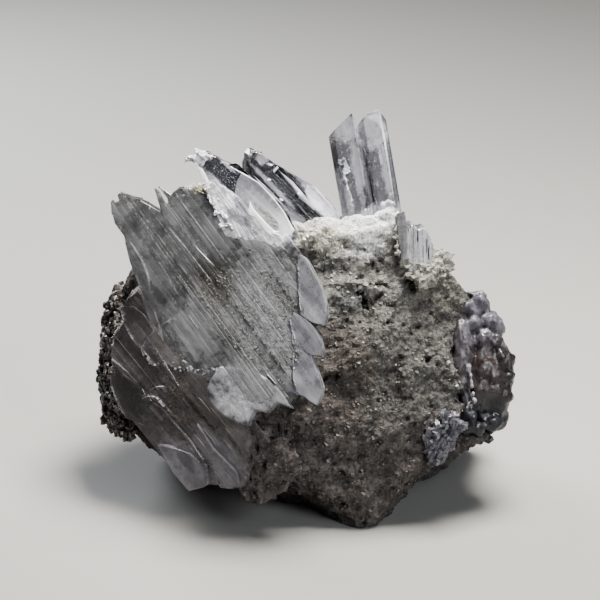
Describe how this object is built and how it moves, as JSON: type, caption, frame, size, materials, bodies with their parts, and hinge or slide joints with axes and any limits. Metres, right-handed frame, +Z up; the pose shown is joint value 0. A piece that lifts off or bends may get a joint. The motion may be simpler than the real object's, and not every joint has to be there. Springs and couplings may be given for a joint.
{
  "type": "gypsum mineral specimen",
  "caption": "Hand specimen of clear bladed gypsum crystals grown on a lump of sugary grey matrix, which rests on its flat base.",
  "frame": {"origin": "middle of the outline's box, on the plane of the flat base", "axes": "+X to the right across the show face, +Y away from its viewer, +Z up"},
  "size_m": [0.0896, 0.0706, 0.0834],
  "materials": {
    "sugary_matrix": "granular, dull, sugary gypsum grains",
    "clear_selenite": "clear, glassy, fine striations and milky veils",
    "smoky_selenite": "clear, faintly pinkish grey, glassy",
    "frosted_selenite": "translucent, white veils and frosted faces",
    "grey_druse": "small dull crystals with grey dust",
    "lavender_gypsum": "glossy translucent knobs, lavender to pinkish brown"
  },
  "bodies": {
    "root": {"matrix_rock": "sugary_matrix", "front_plate": "clear_selenite", "lower_plate": "smoky_selenite", "crest_front": "frosted_selenite", "crest_rear": "clear_selenite", "twin_prisms": "clear_selenite", "side_prisms": "frosted_selenite", "left_flank_druse": "grey_druse", "right_lobes": "lavender_gypsum", "low_crystal_patch": "frosted_selenite"}
  },
  "joints": []
}
